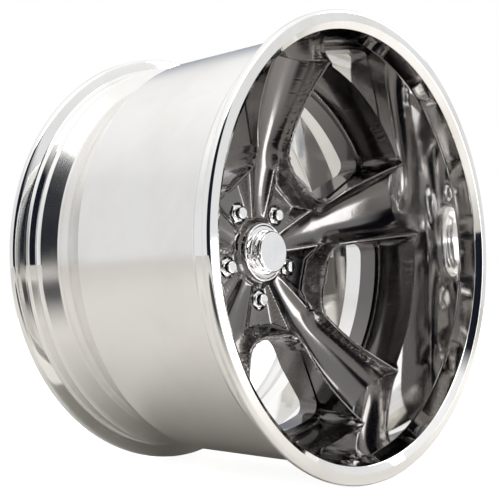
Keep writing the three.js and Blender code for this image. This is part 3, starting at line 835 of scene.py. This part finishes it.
def lifted(points, plane):
    """Points of the wheel's plane, moved to a plane or to one plane each, in metres."""
    planes = np.broadcast_to(plane, len(points))
    return [(p.x * MM, float(y) * MM, p.y * MM) for p, y in zip(points, planes)]


def heights_of(points, surface):
    x = np.array([p.x for p in points])
    z = np.array([p.y for p in points])
    return surface(x, z)


def back_surface(x, z):
    return back_plane(np.hypot(x, z))


STEEPEST_EASED = 0.22


def ease_front(bm):
    """Evens out the heights of the milled face, but leaves every wall and its edge as they are."""
    bm.normal_update()
    gentle = []
    for vert in bm.verts:
        slopes = [abs(face.normal.y) for face in vert.link_faces]
        if slopes and not vert.is_boundary and min(slopes) > STEEPEST_EASED:
            gentle.append(vert)
    for _ in range(3):
        bmesh.ops.smooth_vert(bm, verts=gentle, factor=0.5, use_axis_y=True)


def drop_unused(bm):
    """Removes faces that lie in the mirror plane between two half spokes, and points without a face."""
    across = Vector((math.cos(SECTOR / 2), 0, -math.sin(SECTOR / 2)))
    in_plane = [face for face in bm.faces if all(abs(vert.co.dot(across)) < 1e-6 for vert in face.verts)]
    bmesh.ops.delete(bm, geom=in_plane, context="FACES")
    unused = [vert for vert in bm.verts if not vert.link_faces]
    bmesh.ops.delete(bm, geom=unused, context="VERTS")


def make_half_spoke():
    bm = bmesh.new()
    opening, opening_back = opening_line(0), opening_line(1.2)
    outline, hole_front = half_outline(CAP_BORE, COUNTERBORE, opening, FRONT_SPACING)
    lines = inside_lines(outline, front_lines())
    places, faces = triangulated(outline, lines, FRONT_SPACING)
    add_surface(bm, places, faces, heights_of(places, front_plane))
    ease_front(bm)
    back_outline, hole_back = half_outline(HUB_BORE, SLEEVE_HOLE, opening_back, BACK_SPACING)
    places, faces = triangulated(back_outline, [], BACK_SPACING)
    add_surface(bm, places, faces, heights_of(places, back_surface))
    # the window's wall, straight back from the ledge
    front_y, back_y = heights_of(opening, front_plane), heights_of(opening_back, back_surface)
    rows = []
    for share in (0, 0.5, 1):
        row = [a.lerp(b, share) for a, b in zip(opening, opening_back)]
        rows.append(lifted(row, front_y + (back_y - front_y) * share))
    add_strip(bm, rows)
    # the lug hole: a counterbore for the socket, then the hole for the steel seat
    at_floor = lifted(hole_front, COUNTERBORE_FLOOR)
    sleeve_floor = lifted(hole_back, COUNTERBORE_FLOOR)
    add_strip(bm, [lifted(hole_front, heights_of(hole_front, front_plane)), at_floor])
    add_strip(bm, [at_floor, sleeve_floor])
    add_strip(bm, [sleeve_floor, lifted(hole_back, PAD_PLANE)])
    # the bore and the outer edge
    bore, hub = [arc_line(radius, 0, SECTOR / 2, BORE_STEPS) for radius in (CAP_BORE, HUB_BORE)]
    bore_front = lifted(bore, heights_of(bore, front_plane))
    step_back = [lifted(bore, HUB_BORE_PLANE), lifted(hub, HUB_BORE_PLANE), lifted(hub, PAD_PLANE)]
    add_strip(bm, [bore_front, *step_back])
    edge = arc_line(CENTER_RADIUS, SECTOR / 2, 0, EDGE_STEPS)
    add_strip(bm, [lifted(edge, heights_of(edge, front_plane)), lifted(edge, CENTER_BACK)])
    drop_unused(bm)
    return bm


def make_center():
    half = make_half_spoke()
    mesh = bpy.data.meshes.new("half_spoke")
    half.to_mesh(mesh)
    half.free()
    whole = bmesh.new()
    for i in range(SPOKES):
        for mirror in (1, -1):
            piece = bmesh.new()
            piece.from_mesh(mesh)
            piece.transform(Matrix.Rotation(SECTOR * i, 4, "Y") @ Matrix.Diagonal((mirror, 1, 1, 1)))
            copy = bpy.data.meshes.new("copy")
            piece.to_mesh(copy)
            piece.free()
            whole.from_mesh(copy)
            bpy.data.meshes.remove(copy)
    bpy.data.meshes.remove(mesh)
    bmesh.ops.remove_doubles(whole, verts=whole.verts, dist=2e-5)
    open_edges = sum(1 for edge in whole.edges if len(edge.link_faces) != 2)
    center = finish_mesh("forged_center", whole, GUNMETAL, sharp_angle=38)
    print("center:", len(center.data.polygons), "faces,", open_edges, "open edges")
    return center


center = make_center()
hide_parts("spoke_center")
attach(center, "wheel")

# %% [markdown]
# ## The weld between the rim and the center
# The center is pressed into the rim and welded round its back edge. The bead is a row of small scales,
# one for each pulse of the welding torch, so its section swells and sinks on the way round.

# %% Weld bead
WELD_SCALES = 280
WELD_LEG = 5


def weld_section(angle):
    share = angle * WELD_SCALES / (2 * math.pi) % 1
    swell = 0.4 + 0.9 * math.sin(math.pi * share) ** 0.6
    back = CENTER_BACK + 0.3
    points = [(CENTER_RADIUS, back)]
    for i in range(7):
        t = i / 6
        bulge = swell * 4 * t * (1 - t) / math.sqrt(2)
        points.append((CENTER_RADIUS - WELD_LEG * (1 - t) - bulge, back + WELD_LEG * t + bulge))
    return points


def add_turned(name, node, section, material, body, around=96, closed=True, place=None):
    """A turned piece that stands for one node of the frame."""
    piece = turned(name, section, material, around, closed, place)
    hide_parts(node)
    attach(piece, body)
    return piece


bead = add_turned("weld_scales", "weld_bead", weld_section, WELD, "wheel", WELD_SCALES * 4)
print("weld bead:", len(bead.data.polygons), "faces")

# %% [markdown]
# ## Lugs
# A lug has three pieces: a steel seat pressed into the forged center, a washer held captive on the nut's
# shank, and the nut itself. The nut's hexagon is chamfered by a cone, which is why each of its sides
# ends in a curved edge, and its closed nose is a plain cylinder with a rounded end.

# %% Seats, washers and nuts
NUT_FLATS = 21
SHANK_RADIUS = 7.8
STUD_RADIUS = 6.5
NOSE_RADIUS = 7.6
NUT_SEAT = WASHER_FRONT - 0.3
HEX_FRONT = NUT_TIP + 9
WASHER_RADIUS = NUT_FLATS / math.sqrt(3) + 0.5
SEAT_BORE = SHANK_RADIUS + 0.3
SEAT_SLEEVE = SEAT_BORE + 2.6


def nut_section(angle):
    reach = hexagon_reach(angle, NUT_FLATS)
    cone = NUT_FLATS / 2 - 0.5
    drop = 0.5 * (reach - cone)
    front = rounded([
        (0, NUT_TIP),
        (NOSE_RADIUS, NUT_TIP, 1.5),
        (NOSE_RADIUS, HEX_FRONT, 0.7),
        (cone, HEX_FRONT),
        (reach, HEX_FRONT + drop, 0.25),
        (reach, NUT_SEAT, 0.25),
        (SHANK_RADIUS, NUT_SEAT, 0.3),
        (SHANK_RADIUS, NUT_BACK, 0.5),
        (STUD_RADIUS, NUT_BACK),
    ], steps=5, closed=False)
    inside = thread(STUD_RADIUS + 0.6, NUT_BACK, HEX_FRONT - 2.6, 1.5, 0.6)
    return [*front, *inside, (0, HEX_FRONT - 3)]


washer_section = rounded([
    (SEAT_BORE, WASHER_FRONT, 0.3),
    (WASHER_RADIUS, WASHER_FRONT, 0.9),
    (WASHER_RADIUS, WASHER_BACK, 0.3),
    (SEAT_BORE, WASHER_BACK, 0.3),
])
seat_section = rounded([
    (SEAT_BORE, SEAT_FRONT, 0.5),
    (COUNTERBORE - 0.3, SEAT_FRONT, 0.5),
    (COUNTERBORE - 0.3, SEAT_FRONT + 2.4, 0.3),
    (SEAT_SLEEVE, SEAT_FRONT + 2.4, 0.3),
    (SEAT_SLEEVE, SEAT_BACK, 0.4),
    (SEAT_BORE, SEAT_BACK, 0.4),
])
for number in range(1, SPOKES + 1):
    seat, washer, nut = f"lug_seat_{number}", f"lug_washer_{number}", f"lug_nut_{number}"
    here = at_lug(number)
    add_turned(f"steel_seat_{number}", seat, seat_section, STEEL, "wheel", 72, True, here)
    add_turned(f"captive_washer_{number}", washer, washer_section, CHROME, washer, 72, True, here)
    add_turned(f"chrome_nut_{number}", nut, nut_section, CHROME, nut, 96, False, here)
print("lugs:", SPOKES, "seats, washers and nuts")

# %% [markdown]
# ## The center cap
# The cap is pushed into the bore from the front. Its body is a chromed cone with a rolled base ring, a
# rubber O-ring in a groove of its sleeve holds it, and a thick plain disc is screwed to its front.

# %% Center cap
CAP_SEAT_PLANE = CAP_BACK - 16 + 0.3
CAP_FLANGE_BACK = CAP_SEAT_PLANE - 0.3
DISC_BACK = CAP_SEAT_PLANE - 9
CAP_SLEEVE = CAP_BORE - 0.3
GROOVE_PLANE = CAP_FLANGE_BACK + 9
RING_WIRE = 2
GROOVE_HALF = RING_WIRE / 2 + 0.3
GROOVE_RADIUS = CAP_SLEEVE - RING_WIRE - 0.3
SCREW_RADIUS = 2.2

cap_body_section = rounded([
    (CAP_SLEEVE - 4, CAP_BACK, 0.6),
    (CAP_SLEEVE - 4, CAP_FLANGE_BACK + 1, 3),
    (CAP_DISC_RADIUS - 4, DISC_BACK + 3.3, 1),
    (3.3, DISC_BACK + 3.3, 0.3),
    (3.3, DISC_BACK + 0.3, 0.2),
    (CAP_DISC_RADIUS - 1.5, DISC_BACK + 0.3, 0.6),
    (CAP_DISC_RADIUS - 0.5, DISC_BACK + 1.5, 0.8),
    (CAP_DISC_RADIUS + 0.9, CAP_FLANGE_BACK - 1.9, 5),
    (CAP_BASE_RADIUS - 4.2, CAP_FLANGE_BACK - 1.6, 0.6),
    (CAP_BASE_RADIUS - 2.6, CAP_FLANGE_BACK - 3, 0.8),
    (CAP_BASE_RADIUS, CAP_FLANGE_BACK - 3, 1.6),
    (CAP_BASE_RADIUS, CAP_FLANGE_BACK, 0.3),
    (CAP_SLEEVE, CAP_FLANGE_BACK, 0.3),
    (CAP_SLEEVE, GROOVE_PLANE - GROOVE_HALF, 0.2),
    (GROOVE_RADIUS, GROOVE_PLANE - GROOVE_HALF, 0.4),
    (GROOVE_RADIUS, GROOVE_PLANE + GROOVE_HALF, 0.4),
    (CAP_SLEEVE, GROOVE_PLANE + GROOVE_HALF, 0.2),
    (CAP_SLEEVE, CAP_BACK, 1),
])
cap_disc_section = rounded([
    (0, CAP_FRONT),
    (CAP_DISC_RADIUS - 1.4, CAP_FRONT, 1.2),
    (CAP_DISC_RADIUS, CAP_FRONT + 1.6, 1.2),
    (CAP_DISC_RADIUS, DISC_BACK - 1.5, 1),
    (CAP_DISC_RADIUS - 1.5, DISC_BACK, 1),
    (2.5, DISC_BACK, 0.3),
    (2.5, DISC_BACK - 5),
    (0, DISC_BACK - 5),
], closed=False)


def circle_section(radius, y, size, steps=16):
    turns = [2 * math.pi * i / steps for i in range(steps)]
    return [(radius + size * math.cos(turn), y + size * math.sin(turn)) for turn in turns]


def screw_section(angle):
    """A button-head screw with a hexagon socket, its thread cut down its shank."""
    head = DISC_BACK + 3.6
    socket = hexagon_reach(angle, 4)
    outside = rounded([
        (0, head + 1),
        (socket, head + 1),
        (socket, head + 2.6, 0.2),
        (5, head + 2.6, 1.4),
        (5, head, 0.2),
        (SCREW_RADIUS, head),
    ], steps=5, closed=False)
    return [*outside, *thread(SCREW_RADIUS, head, DISC_BACK - 4.2, 0.8, 0.35), (0, DISC_BACK - 4.5)]


add_turned("chrome_cap", "cap_body", cap_body_section, CHROME, "center_cap", 192)
add_turned("plain_disc", "cap_disc", cap_disc_section, CHROME, "center_cap", 192, False)
add_turned("button_screw", "cap_screw", screw_section, STEEL, "center_cap", 72, False)
add_turned("o_ring", "cap_o_ring", circle_section(CAP_SLEEVE - RING_WIRE / 2, GROOVE_PLANE, RING_WIRE / 2),
           RUBBER, "center_cap", 128)
print("center cap: body, disc, screw and O-ring")

# %% [markdown]
# ## The tyre valve
# The valve is a threaded metal stem clamped through the rim, with a rubber grommet outside and a washer
# and nut inside. A brass core with a spring-loaded pin sits in the stem's mouth, and a knurled cap with
# a rubber seal screws over it. It is drawn upright on the axis and then laid into the rim.

# %% Valve
VALVE_OUTSIDE = BARREL_RADIUS + 0.3
VALVE_INSIDE = BARREL_RADIUS - REAR_WALL - 0.6
VALVE_TIP = BARREL_RADIUS - REAR_WALL - 32
VALVE_BORE = VALVE_STEM - 1.4
VALVE_HEAD = VALVE_HOLE + 2.2
STEM_BORE = VALVE_STEM + 0.3
NUT_FRONT = VALVE_INSIDE - 1.8
VALVE_NUT_FLATS = 2 * (STEM_BORE + 1.7)
CORE_LENGTH = 14
PIN_RADIUS = 0.7
SEAL_PLANE = VALVE_TIP - 0.8
CAP_CLOSED = SEAL_PLANE - 1.8
VALVE_CAP_RADIUS = STEM_BORE + 0.7

stem_mouth = rounded([
    (VALVE_BORE, VALVE_TIP + CORE_LENGTH + 2),
    (VALVE_BORE, VALVE_TIP, 0.4),
    (VALVE_STEM, VALVE_TIP, 0.5),
    (VALVE_STEM, VALVE_TIP + 1.5),
], closed=False)
stem_head = rounded([
    (VALVE_STEM, VALVE_INSIDE),
    (VALVE_STEM, VALVE_OUTSIDE + 2.3, 0.2),
    (VALVE_HEAD, VALVE_OUTSIDE + 2.3, 0.2),
    (VALVE_HEAD, VALVE_OUTSIDE + 3.5, 0.6),
    (1.5, VALVE_OUTSIDE + 3.5, 0.2),
    (1.5, VALVE_TIP + CORE_LENGTH + 2),
], closed=False)
stem_section = [*stem_mouth, *thread(VALVE_STEM, VALVE_TIP + 1.5, VALVE_INSIDE, 0.8, 0.35), *stem_head]
grommet_section = rounded([
    (STEM_BORE, VALVE_INSIDE + 1, 0.3),
    (VALVE_HOLE - 0.3, VALVE_INSIDE + 1, 0.4),
    (VALVE_HOLE - 0.3, VALVE_OUTSIDE, 0.3),
    (VALVE_HOLE + 2.4, VALVE_OUTSIDE, 0.8),
    (VALVE_HOLE + 2.4, VALVE_OUTSIDE + 2, 0.8),
    (STEM_BORE, VALVE_OUTSIDE + 2, 0.3),
])
valve_washer_section = rounded([
    (STEM_BORE, VALVE_INSIDE - 1.5, 0.2),
    (VALVE_HOLE + 2.4, VALVE_INSIDE - 1.5, 0.5),
    (VALVE_HOLE + 2.4, VALVE_INSIDE, 0.2),
    (STEM_BORE, VALVE_INSIDE, 0.2),
])


def valve_nut_section(angle):
    reach = hexagon_reach(angle, VALVE_NUT_FLATS)
    drop = 0.5 * (reach - VALVE_NUT_FLATS / 2 + 0.3)
    return rounded([
        (STEM_BORE, NUT_FRONT - 5, 0.3),
        (VALVE_NUT_FLATS / 2 - 0.3, NUT_FRONT - 5),
        (reach, NUT_FRONT - 5 + drop, 0.15),
        (reach, NUT_FRONT, 0.15),
        (STEM_BORE, NUT_FRONT, 0.3),
    ], steps=4)


def valve_cap_section(angle):
    """The cap's side is fluted for the fingers."""
    side = VALVE_CAP_RADIUS - 0.22 * abs(math.sin(12 * angle))
    return rounded([
        (0, CAP_CLOSED - 1.5),
        (VALVE_CAP_RADIUS - 0.9, CAP_CLOSED - 1.5, 0.6),
        (side, CAP_CLOSED - 0.5, 0.3),
        (side, CAP_CLOSED + 8, 0.2),
        (VALVE_CAP_RADIUS - 0.2, CAP_CLOSED + 9, 0.1),
        (STEM_BORE, CAP_CLOSED + 9),
        (STEM_BORE, CAP_CLOSED),
        (0, CAP_CLOSED),
    ], steps=4, closed=False)


core_section = rounded([
    (PIN_RADIUS + 0.3, VALVE_TIP + 1.5, 0.1),
    (VALVE_BORE - 0.3, VALVE_TIP + 1.5, 0.3),
    (VALVE_BORE - 0.3, VALVE_TIP + 6, 0.3),
    (VALVE_BORE - 0.8, VALVE_TIP + 7, 0.3),
    (VALVE_BORE - 0.3, VALVE_TIP + 8, 0.3),
    (VALVE_BORE - 0.3, VALVE_TIP + 1.5 + CORE_LENGTH, 0.3),
    (PIN_RADIUS + 0.3, VALVE_TIP + 1.5 + CORE_LENGTH, 0.1),
])
pin_section = rounded([
    (0, VALVE_TIP + 0.3),
    (PIN_RADIUS, VALVE_TIP + 0.3, 0.3),
    (PIN_RADIUS, VALVE_TIP + CORE_LENGTH + 2.5, 0.2),
    (0, VALVE_TIP + CORE_LENGTH + 2.5),
], closed=False)
seal_section = rounded([
    (1.4, SEAL_PLANE - 1.5, 0.3),
    (VALVE_STEM, SEAL_PLANE - 1.5, 0.4),
    (VALVE_STEM, SEAL_PLANE, 0.4),
    (1.4, SEAL_PLANE, 0.3),
])
VALVE_PIECES = [
    ("threaded_stem", "valve_stem", stem_section, CHROME, "chrome", "wheel", 48, True),
    ("rubber_grommet", "valve_grommet", grommet_section, RUBBER, "rubber", "wheel", 48, True),
    ("flat_washer", "valve_washer", valve_washer_section, STEEL, "steel", "wheel", 48, True),
    ("stem_nut", "valve_nut", valve_nut_section, CHROME, "chrome", "wheel", 72, True),
    ("brass_core", "valve_core", core_section, BRASS, "brass", "wheel", 32, True),
    ("brass_pin", "valve_pin", pin_section, BRASS, "brass", "valve_pin", 24, False),
    ("rubber_seal", "valve_cap_seal", seal_section, RUBBER, "rubber", "valve_cap_seal", 32, True),
    ("knurled_cap", "valve_cap", valve_cap_section, CHROME, "chrome", "valve_cap", 144, False),
]
for name, node, section, material, slot, body, around, closed in VALVE_PIECES:
    add_turned(name, node, section, material, body, around, closed, AT_VALVE)
print("valve:", len(VALVE_PIECES), "pieces")

# %% [markdown]
# ## The camera and the light
# The camera looks at the wheel from the street side and the left, a little below the axis. The studio
# is a white tent: bright all round, with a dark opening where the camera stands. The dark opening is
# what draws black lines on chrome, and without it bright metal looks like white plaster.

# %% Camera
CAMERA_PLACE, CAMERA_AIM = Vector((-0.8996, -0.7867, -0.0763)), Vector((-0.03166, 0, 0.00114))
CAMERA_TURN = math.radians(2.25)
camera_data = bpy.data.cameras.new("camera")
camera_data.lens = 67.84
camera_data.sensor_width = 36
camera = bpy.data.objects.new("camera", camera_data)
bpy.context.scene.collection.objects.link(camera)
bpy.context.scene.camera = camera
# upright and aimed, then turned a little about the wheel's axis, which tilts the picture
aimed = (CAMERA_AIM - CAMERA_PLACE).to_track_quat("-Z", "Y").to_matrix().to_4x4()
camera.matrix_world = Matrix.Rotation(CAMERA_TURN, 4, "Y") @ Matrix.Translation(CAMERA_PLACE) @ aimed
place = Matrix.Rotation(CAMERA_TURN, 4, "Y") @ CAMERA_PLACE
print("camera at", [round(v, 3) for v in place])

# %% Studio
world = bpy.data.worlds.new("studio")
world.use_nodes = True
bpy.context.scene.world = world


def camera_ray(tree):
    """1 where the camera looks straight at something, so that the backdrop itself stays plain white."""
    return tree.nodes.new("ShaderNodeLightPath").outputs["Is Camera Ray"]


def nearness(tree, vector, direction, start, end):
    """0 to 1 as a direction of the sky comes closer to the given one."""
    node = tree.nodes.new("ShaderNodeVectorMath")
    node.operation = "DOT_PRODUCT"
    tree.links.new(vector, node.inputs[0])
    node.inputs[1].default_value = Vector(direction).normalized()
    return remap(tree, node.outputs["Value"], start, end, 0, 1)


def studio_world(tree):
    """What the metal mirrors: a pale tent, bright overhead, dark in front and dusky far behind."""
    sky = tree.nodes.new("ShaderNodeTexCoord").outputs["Generated"]
    parts = tree.nodes.new("ShaderNodeSeparateXYZ")
    tree.links.new(sky, parts.inputs[0])
    overhead = remap(tree, parts.outputs["Z"], 0.45, 0.75, 0, 1)
    opening = nearness(tree, sky, (-0.57, -0.82, 0.10), 0.68, 0.78)
    dusk = nearness(tree, sky, (-place.x, -place.y, 0.15), 0.84, 0.97)
    mirrored = color_between(tree, overhead, (0.80, 0.805, 0.815), (1.05, 1.05, 1.05))
    mirrored = color_between(tree, opening, mirrored, (0.010, 0.012, 0.020))
    mirrored = color_between(tree, dusk, mirrored, (0.30, 0.33, 0.40))
    seen = color_between(tree, camera_ray(tree), mirrored, (1.0, 1.0, 1.0))
    tree.links.new(seen, tree.nodes["Background"].inputs["Color"])


studio_world(world.node_tree)


def soft_light(name, spot, size, watts):
    """A flat softbox that faces the middle of the wheel."""
    data = bpy.data.lights.new(name, "AREA")
    data.shape = "RECTANGLE"
    data.size, data.size_y = size
    data.energy = watts
    light = bpy.data.objects.new(name, data)
    bpy.context.scene.collection.objects.link(light)
    light.location = spot
    light.rotation_euler = (-Vector(spot)).to_track_quat("-Z", "Y").to_euler()


soft_light("softbox_above", (-0.3, -0.9, 1.6), (1.4, 0.7), 12)
soft_light("softbox_right", (1.75, -0.75, 1.4), (1.1, 0.8), 15)
soft_light("softbox_low", (0.95, -1.45, -0.12), (0.55, 0.42), 4.5)

floor_mesh = bpy.data.meshes.new("floor")
half_floor = 6
floor_height = -FLANGE_RADIUS * MM
corners = ((-1, -1), (1, -1), (1, 1), (-1, 1))
floor_corners = [(x * half_floor, y * half_floor, floor_height) for x, y in corners]
floor_mesh.from_pydata(floor_corners, [], [(0, 1, 2, 3)])
floor = bpy.data.objects.new("floor", floor_mesh)
bpy.context.scene.collection.objects.link(floor)


def floor_paper():
    """Pale paper that glows like the backdrop; metal mirrors it as grey, with painted shade round the
    camera's foot.
    """
    material, tree, shader = new_material("floor_paper", (0.52, 0.50, 0.47), 0, 0.9)
    seen = camera_ray(tree)
    # painted shade: the paper that metal mirrors is near black round the camera's foot, fading to plain paper
    # between 0.45 and 0.85 m from it
    distance_to_painted_shade = tree.nodes.new("ShaderNodeVectorMath")
    distance_to_painted_shade.operation = "DISTANCE"
    where, _ = position_parts(tree)
    tree.links.new(where, distance_to_painted_shade.inputs[0])
    distance_to_painted_shade.inputs[1].default_value = (place.x, place.y, floor_height)
    outside_painted_shade = remap(tree, distance_to_painted_shade.outputs["Value"], 0.45, 0.85, 0, 1)
    paper = color_between(tree, outside_painted_shade, (0.02, 0.02, 0.025), (0.74, 0.715, 0.68))
    tree.links.new(color_between(tree, seen, paper, (0.86, 0.86, 0.86)), shader.inputs["Base Color"])
    tree.links.new(seen, shader.inputs["Emission Strength"])
    shader.inputs["Emission Color"].default_value = (0.85, 0.85, 0.85, 1)
    return material


floor_mesh.materials.append(floor_paper())
bpy.context.scene.view_settings.view_transform = "Standard"
print("studio: world, 3 softboxes and a floor")
